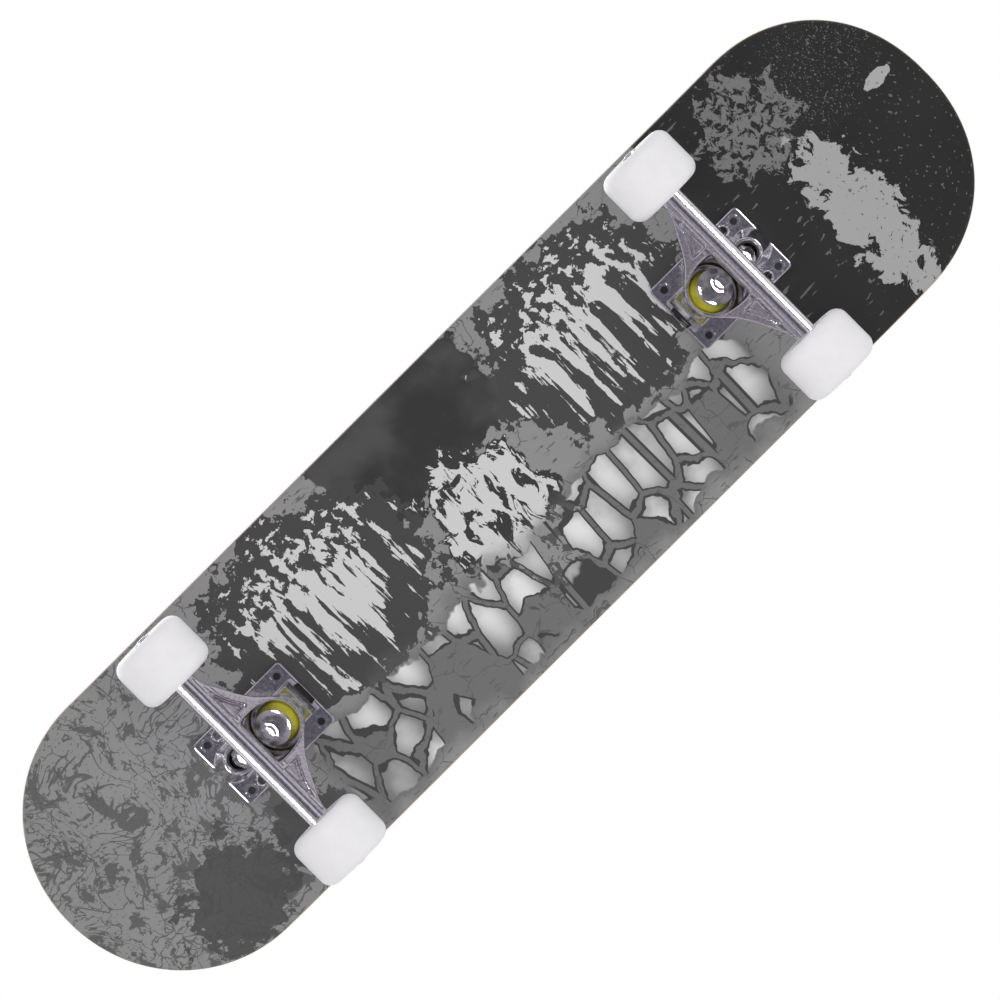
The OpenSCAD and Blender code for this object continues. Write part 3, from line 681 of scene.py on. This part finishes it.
# Places in millimetres: (centre, reach) of each torn shape, and where each stretch starts or ends
SLANT = 28
SWATHES = (((38, 122), (76, 92)), ((34, -128), (80, 98)))
TAIL_START = -205
TAIL_WASHES = (((-66, -236), (44, 46)), ((-64, -300), (60, 66)))
SPLASH = ((-12, -6), (84, 52))
RAIL_WASH_X = 30
RAIL_WASH_Y = (-78, 52)
SHARDS_X = (-92, -30)
SHARDS_Y = (-200, 182)
NOSE_START = 217
NOSE_BLOTCH = ((-36, 300), (100, 36))
NOSE_PATCH = ((58, 285), (54, 56))
NOSE_STROKE = ((19, 368), (6, 14))
NOSE_SPLATTER = ((52, 338), (48, 56))


def torn_patch(s, x, y, rough, centre, reach, raggedness):
    """A blob that is positive inside: 1 at its centre, falling to 0 at its reach, with ragged edges."""
    dx = s.maths("DIVIDE", s.maths("SUBTRACT", x, centre[0]), reach[0])
    dy = s.maths("DIVIDE", s.maths("SUBTRACT", y, centre[1]), reach[1])
    distance = s.maths("SQRT", s.maths("ADD", s.times(dx, dx), s.times(dy, dy)))
    ragged = s.times(s.maths("SUBTRACT", rough, 0.5), raggedness)
    return s.maths("ADD", s.maths("SUBTRACT", 1.0, distance), ragged)


def brush_swathe(s, colour, place, x, y, centre, reach, rough):
    """A torn swathe of dry brushwork: a dark backing with light strokes, all slanting one way.
    Strokes are noise stretched along the slant and cut at a level that rises towards the rim."""
    body = torn_patch(s, x, y, rough, centre, reach, 1.1)
    colour = s.paint(colour, grey(DARK), s.fade(body, 0.16, 0.175))
    stroke = s.noise(s.mapping(place, (0.017, 0.14, 1), SLANT), 1.0, 4.0, 0.6, 0.35)
    bar = s.maths("SUBTRACT", 0.60, s.times(s.fade(body, 0.2, 0.75), 0.14))
    strokes = s.fade(s.maths("SUBTRACT", stroke, bar), 0.0, 0.012)
    return s.paint(colour, grey(LIGHT), s.times(strokes, s.fade(body, 0.24, 0.255)))


def broken_ground(s, place, x, y):
    """Mid-grey ground with broken hairline cracks and slanting dashes."""
    slow = s.noise(place, 0.012, 3.0)
    colour = s.paint(grey(MID - 0.03), grey(MID + 0.03), slow)
    warp = s.noise(place, 0.08, 3.0)
    bent = s.vector(s.maths("ADD", x, s.times(warp, 14.0)), s.maths("ADD", y, s.times(warp, -11.0)))
    crack = s.fade(s.cells(bent, 0.045).outputs["Distance"], 0.016, 0.008)
    crack = s.times(crack, s.fade(s.noise(place, 0.06, 2.0), 0.44, 0.5))
    dash = s.fade(s.noise(s.mapping(place, (0.5, 0.09, 1), 38), 1.0, 2.0, 0.6), 0.64, 0.66)
    colour = s.paint(colour, grey(CRACK), crack)
    return s.paint(colour, grey(DASH), dash)


def sketched_tail(s, colour, place, x, y):
    """Tail third: loose contour lines, hatching and two darker washes."""
    edge = s.maths("ADD", y, s.times(s.noise(place, 0.03, 3.0), 40.0))
    here = s.fade(edge, TAIL_START, TAIL_START - 8)
    field = s.noise(place, 0.022, 4.0, 0.55, 0.8)
    level = s.maths("FRACT", s.times(field, 9.0))
    line = s.between(level, 0.44, 0.56, 0.03)
    wash = s.fade(s.noise(place, 0.045, 6.0, 0.7, 0.6), 0.545, 0.56)
    stripe = s.maths("FRACT", s.times(s.maths("ADD", x, s.times(field, 60)), 0.16))
    hatch = s.between(stripe, 0.4, 0.6, 0.05)
    hatch = s.times(hatch, s.fade(s.noise(place, 0.03, 2.0), 0.56, 0.6))
    marks = s.most(line, wash, hatch)
    colour = s.paint(colour, grey(SKETCH), s.times(marks, here, 0.85))
    rough = s.noise(place, 0.07, 5.0, 0.6)
    for centre, reach in TAIL_WASHES:
        patch = torn_patch(s, x, y, rough, centre, reach, 1.6)
        colour = s.paint(colour, grey(WASH), s.times(s.fade(patch, 0.38, 0.40), 0.92))
    return colour


def dark_rail(s, colour, place, x, y):
    """A dark wash on the right rail between the two swathes, torn along its inner edge."""
    rough = s.noise(place, 0.05, 5.0, 0.62)
    inner = s.maths("ADD", x, s.times(s.maths("SUBTRACT", rough, 0.5), 55.0))
    along = s.maths("ADD", y, s.times(s.maths("SUBTRACT", rough, 0.5), 30.0))
    mask = s.times(s.fade(inner, RAIL_WASH_X, RAIL_WASH_X + 1.5), s.between(along, *RAIL_WASH_Y, 0.8))
    tone = s.paint(grey(WASH - 0.10), grey(WASH), s.fade(s.noise(place, 0.02, 3.0), 0.35, 0.65))
    return s.paint(colour, tone, mask)


def centre_splash(s, colour, place, x, y):
    """A light torn splash in the middle with dark cracks and a dark rim."""
    rough = s.noise(place, 0.055, 6.0, 0.6, 0.7)
    body = torn_patch(s, x, y, rough, *SPLASH, 1.7)
    colour = s.paint(colour, grey(SPLASH_RIM), s.fade(body, 0.24, 0.255))
    cracks = s.fade(s.noise(s.mapping(place, (0.045, 0.10, 1), 25), 1.0, 5.0, 0.6, 1.0), 0.455, 0.47)
    light = s.times(s.fade(body, 0.33, 0.345), cracks)
    return s.paint(colour, grey(LIGHT), light)


def rail_shards(s, colour, place, x, y):
    """Broken shards along the left rail, each shaded from pale to mid grey, with a soft shadow."""
    rough = s.noise(place, 0.04, 3.0)
    drift = s.times(s.maths("SUBTRACT", rough, 0.5), 34.0)
    band = s.maths("ADD", x, drift)
    reach = s.times(s.between(band, *SHARDS_X, 1.0), s.between(y, *SHARDS_Y, 3.0))
    past_x = s.between(band, SHARDS_X[0] - 6, SHARDS_X[1] + 4, 9.0)
    past_y = s.between(y, SHARDS_Y[0] - 5, SHARDS_Y[1] + 4, 12.0)
    shadow = s.times(past_x, past_y)
    slanted = s.mapping(s.vector(band, y), (0.6, 1.0, 1), 34)
    shard = s.cells(slanted, 0.046)
    pick = s.cells(slanted, 0.046, "F1")
    chosen = s.fade(s.parts(pick.outputs["Color"])[0], 0.2, 0.21)
    colour = s.paint(colour, grey(CRACK), s.times(shadow, 0.7))
    rim = s.times(s.fade(shard.outputs["Distance"], 0.05, 0.058), chosen, reach)
    face = s.times(s.fade(shard.outputs["Distance"], 0.10, 0.108), chosen, reach)
    slope = s.maths("ADD", s.times(pick.outputs["Distance"], 0.9), s.times(rough, 0.4))
    tone = s.paint(grey(SHARD_PALE), grey(SHARD_DEEP), s.fade(slope, 0.25, 0.95))
    colour = s.paint(colour, grey(SHARD_RIM), rim)
    return s.paint(colour, tone, face)


def torn_nose(s, colour, place, x, y):
    """Charcoal nose with a pale torn blotch, a rough grey patch, a stroke and fine splatter."""
    rough = s.noise(place, 0.05, 6.0, 0.6)
    limit = s.maths("ADD", y, s.times(s.maths("SUBTRACT", rough, 0.5), 26.0))
    nose = s.fade(limit, NOSE_START, NOSE_START + 1.5)
    ground = s.paint(grey(0.165), grey(0.21), s.noise(place, 0.02, 3.0))
    ragged = s.noise(place, 0.06, 6.0, 0.62, 0.8)
    blotch = torn_patch(s, x, y, ragged, *NOSE_BLOTCH, 1.5)
    gaps = s.fade(s.noise(place, 0.045, 4.0, 0.6, 1.0), 0.60, 0.59)
    ground = s.paint(ground, grey(NOSE_PALE), s.times(s.fade(blotch, 0.36, 0.375), gaps))
    patch = torn_patch(s, x, y, ragged, *NOSE_PATCH, 1.2)
    sponge = s.fade(s.noise(place, 0.17, 5.0, 0.7, 0.6), 0.47, 0.49)
    ground = s.paint(ground, grey(NOSE_MID), s.times(s.fade(patch, 0.34, 0.36), sponge))
    stroke = torn_patch(s, x, y, ragged, *NOSE_STROKE, 1.1)
    ground = s.paint(ground, grey(NOSE_STREAK), s.fade(stroke, 0.2, 0.25))
    splash = torn_patch(s, x, y, rough, *NOSE_SPLATTER, 0.9)
    dots = s.fade(s.noise(place, 0.75, 2.0, 0.5), 0.635, 0.655)
    ground = s.paint(ground, grey(NOSE_DOTS), s.times(s.fade(splash, 0.15, 0.5), dots))
    scratch = s.fade(s.noise(s.mapping(place, (0.32, 0.05, 1), -28), 1.0, 2.0), 0.665, 0.68)
    ground = s.paint(ground, grey(NOSE_SCRATCH), scratch)
    return s.paint(colour, ground, nose)


def printed_underside():
    """Clear-coated print: abstract swathes, shards, splashes and washes in greys."""
    material, s, principled = new_material("printed_underside", Coat_Weight=0.05, Coat_Roughness=0.3,
                                          Specular_IOR_Level=0.2)
    place = s.millimetres()
    x, y, _ = s.parts(place)
    rough = s.noise(place, 0.06, 4.0, 0.6)
    colour = broken_ground(s, place, x, y)
    colour = sketched_tail(s, colour, place, x, y)
    colour = dark_rail(s, colour, place, x, y)
    for centre, reach in SWATHES:
        colour = brush_swathe(s, colour, place, x, y, centre, reach, rough)
    colour = centre_splash(s, colour, place, x, y)
    colour = rail_shards(s, colour, place, x, y)
    colour = torn_nose(s, colour, place, x, y)
    marks = place_group(s, "marks", Size=18.0, Roughness=0.42, Variation=0.25)
    s.feed(principled.inputs["Base Color"], colour)
    s.feed(principled.inputs["Roughness"], marks["Roughness"])
    add_bump(s, principled, marks["Height"], 0.00003)
    return material


def make_materials():
    """One material for each of the record's finishes."""
    return {
        "deck_underside": printed_underside(),
        "maple_light": veneer("maple_natural", (0.62, 0.43, 0.25, 1), (0.40, 0.25, 0.13, 1)),
        "maple_dark": veneer("maple_charcoal", (0.06, 0.055, 0.055, 1), (0.022, 0.02, 0.02, 1)),
        "grip": grit(),
        "polished_aluminium": marked("aluminium_polished", (0.84, 0.83, 0.86, 1), 0.15, 0.2, 1.8,
                                     0.00009, Metallic=1.0),
        "zinc_steel": marked("steel_zinc", (0.66, 0.67, 0.69, 1), 0.24, 0.16, 2.0, 0.00003,
                             Metallic=1.0),
        "yellow_zinc": kingpin_finish(),
        "black_steel": marked("steel_black_oxide", (0.05, 0.05, 0.056, 1), 0.36, 0.2, 1.5, 0.00003,
                              Metallic=0.8),
        "nickel": marked("nickel_bright", (0.90, 0.89, 0.88, 1), 0.26, 0.1, 2.5, 0.00002, Metallic=1.0),
        "bushing_urethane": marked("urethane_olive", (0.47, 0.43, 0.015, 1), 0.32, 0.2, 4.0, 0.00004,
                                   Subsurface_Weight=0.15, Subsurface_Scale=0.003),
        "pivot_urethane": marked("urethane_black", (0.03, 0.03, 0.033, 1), 0.45, 0.2, 3.0, 0.00004),
        "wheel_urethane": marked("urethane_white", (0.95, 0.935, 0.95, 1), 0.44, 0.12, 9.0, 0.00003,
                                 tone=0.008, Specular_IOR_Level=0.25),
        "bearing_steel": marked("steel_bearing", (0.70, 0.71, 0.73, 1), 0.14, 0.1, 1.5, 0.00002,
                                Metallic=1.0),
        "shield": marked("steel_shield", (0.50, 0.51, 0.53, 1), 0.30, 0.2, 1.5, 0.00003, Metallic=1.0),
        "cage": marked("steel_cage", (0.55, 0.50, 0.42, 1), 0.34, 0.2, 1.5, 0.00003, Metallic=1.0),
    }


# ---------- Studio ----------

# Metres, watts and radians. A strip stands past its truck, below it, and aims at the axle tube
SOFT_AIM = (0, 0, 0.08)
STRIP_SIZE = (0.8, 0.05)
STRIP_POWER = 0.7
STRIP_SPREAD = 0.6
STRIP_OUT = 0.27
STRIP_HEIGHT = -0.115
TUBE_OUT = 0.013
TUBE_HEIGHT = 0.028


def add_area(name, place, aim, size, power, spread=None, diffuse=True, glossy=True):
    """A soft light of (width, height) that faces aim and isn't seen by the camera."""
    light = bpy.data.lights.new(name, "AREA")
    light.shape = "RECTANGLE"
    light.size, light.size_y = size
    light.energy = power
    if spread is not None:
        light.spread = spread
    lamp = bpy.data.objects.new(name, light)
    lamp.location = place
    lamp.rotation_euler = (Vector(aim) - Vector(place)).to_track_quat("-Z", "Y").to_euler()
    lamp.visible_camera = False
    lamp.visible_diffuse = diffuse
    lamp.visible_glossy = glossy
    bpy.context.scene.collection.objects.link(lamp)
    return lamp


def light_only(lamp, parts):
    """Keeps a light off everything except the given parts."""
    lit = bpy.data.collections.new(f"{lamp.name}_lit")
    for part in parts:
        lit.objects.link(part)
    lamp.light_linking.receiver_collection = lit


def add_lights():
    """A broad soft light above and below, and a narrow strip past each end for the polished metal."""
    add_area("soft_above", (0.7, -0.8, 2.0), SOFT_AIM, (2.2, 2.2), 26)
    add_area("soft_below", (-0.3, 0.3, -2.0), SOFT_AIM, (2.5, 2.5), 10, glossy=False)
    for truck, out in OUTWARDS.items():
        tube_y = TRUCK_Y[truck] + out * TUBE_OUT
        stand = (0, tube_y + out * STRIP_OUT, STRIP_HEIGHT)
        strip = add_area(f"{truck}_strip", stand, (0, tube_y, TUBE_HEIGHT), STRIP_SIZE, STRIP_POWER,
                         spread=STRIP_SPREAD, diffuse=False)
        own = [part for node, part in frame["nodes"].items() if node.startswith(f"{truck}_")]
        light_only(strip, own)


def set_world():
    """A white surround for the camera, soft white for matt surfaces, and for shiny ones dark
    violet-grey below, in soft patches, that brightens towards the horizon and above."""
    world = bpy.data.worlds.new("studio")
    bpy.context.scene.world = world
    world.use_nodes = True
    s = Shader(world.node_tree)
    background = world.node_tree.nodes["Background"]
    path = s.node("ShaderNodeLightPath")
    way = s.node("ShaderNodeTexCoord").outputs["Generated"]
    height = s.parts(way)[2]
    patches = s.noise(way, 2.4, 2.0, 0.5, 0.6)
    below = s.paint((0.10, 0.094, 0.12, 1), (0.60, 0.57, 0.62, 1), s.fade(patches, 0.42, 0.62))
    seen = s.paint(below, (0.46, 0.42, 0.48, 1), s.fade(height, -0.6, -0.1))
    seen = s.paint(seen, (0.9, 0.9, 0.9, 1), s.fade(height, 0.0, 0.5))
    colour = s.paint((0.72, 0.72, 0.73, 1), seen, path.outputs["Is Glossy Ray"])
    s.feed(background.inputs["Color"], s.paint(colour, (1, 1, 1, 1), path.outputs["Is Camera Ray"]))


def add_floor():
    """A pale floor that is only seen from above, so that it doesn't hide or shade the underside."""
    size = 4.0
    corners = np.array([[-size, -size, 0], [size, -size, 0], [size, size, 0], [-size, size, 0]])
    floor = mesh_object("studio_floor", corners, np.array([[0, 1, 2, 3]]))
    material = bpy.data.materials.new("pale_floor")
    material.use_nodes = True
    s = Shader(material.node_tree)
    principled = material.node_tree.nodes["Principled BSDF"]
    principled.inputs["Base Color"].default_value = (0.82, 0.82, 0.82, 1)
    principled.inputs["Roughness"].default_value = 0.8
    output = material.node_tree.nodes["Material Output"]
    path = s.node("ShaderNodeLightPath")
    behind = s.node("ShaderNodeNewGeometry").outputs["Backfacing"]
    shown = s.times(path.outputs["Is Camera Ray"], s.maths("SUBTRACT", 1.0, behind))
    choice = s.node("ShaderNodeMixShader")
    s.feed(choice.inputs[0], shown)
    s.feed(choice.inputs[1], s.node("ShaderNodeBsdfTransparent").outputs[0])
    s.feed(choice.inputs[2], principled.outputs[0])
    s.feed(output.inputs["Surface"], choice.outputs[0])
    floor.data.materials.append(material)


def add_camera():
    """Nearly square on to the underside from below, with the nose up and to the right."""
    camera = bpy.data.cameras.new("view")
    camera.lens = LENS
    camera.sensor_width = SENSOR
    holder = bpy.data.objects.new("view", camera)
    back = Vector((math.sin(VIEW_TILT), 0, -math.cos(VIEW_TILT)))
    flat_up = Vector((math.cos(VIEW_TURN), math.sin(VIEW_TURN), 0))
    up = (flat_up - back * flat_up.dot(back)).normalized()
    right = up.cross(back)
    turn = Matrix((right, up, back)).transposed().to_4x4()
    place = Vector((*VIEW_CENTRE, RIDE_HEIGHT)) + back * VIEW_DISTANCE
    holder.matrix_world = Matrix.Translation(place) @ turn
    camera.clip_end = 4 * VIEW_DISTANCE
    bpy.context.scene.collection.objects.link(holder)
    bpy.context.scene.camera = holder


def dress_frame():
    """Gives every carried-over part the finish that its slot names."""
    for entry in frame["record"]["subparts"]:
        part = frame["nodes"][entry["node"]]
        part.data.materials.clear()
        part.data.materials.append(materials[entry["material_slot"]])


# ---------- Scene ----------

bpy.context.scene.view_settings.view_transform = "Standard"
materials = make_materials()
add_camera()
add_floor()
set_world()
add_lights()
dress_frame()
build_deck()
build_wheels()
for truck in OUTWARDS:
    build_bushings(truck)
    for casting, (voxel, passes) in CASTINGS.items():
        soften_casting(f"{truck}_{casting}", voxel, passes)
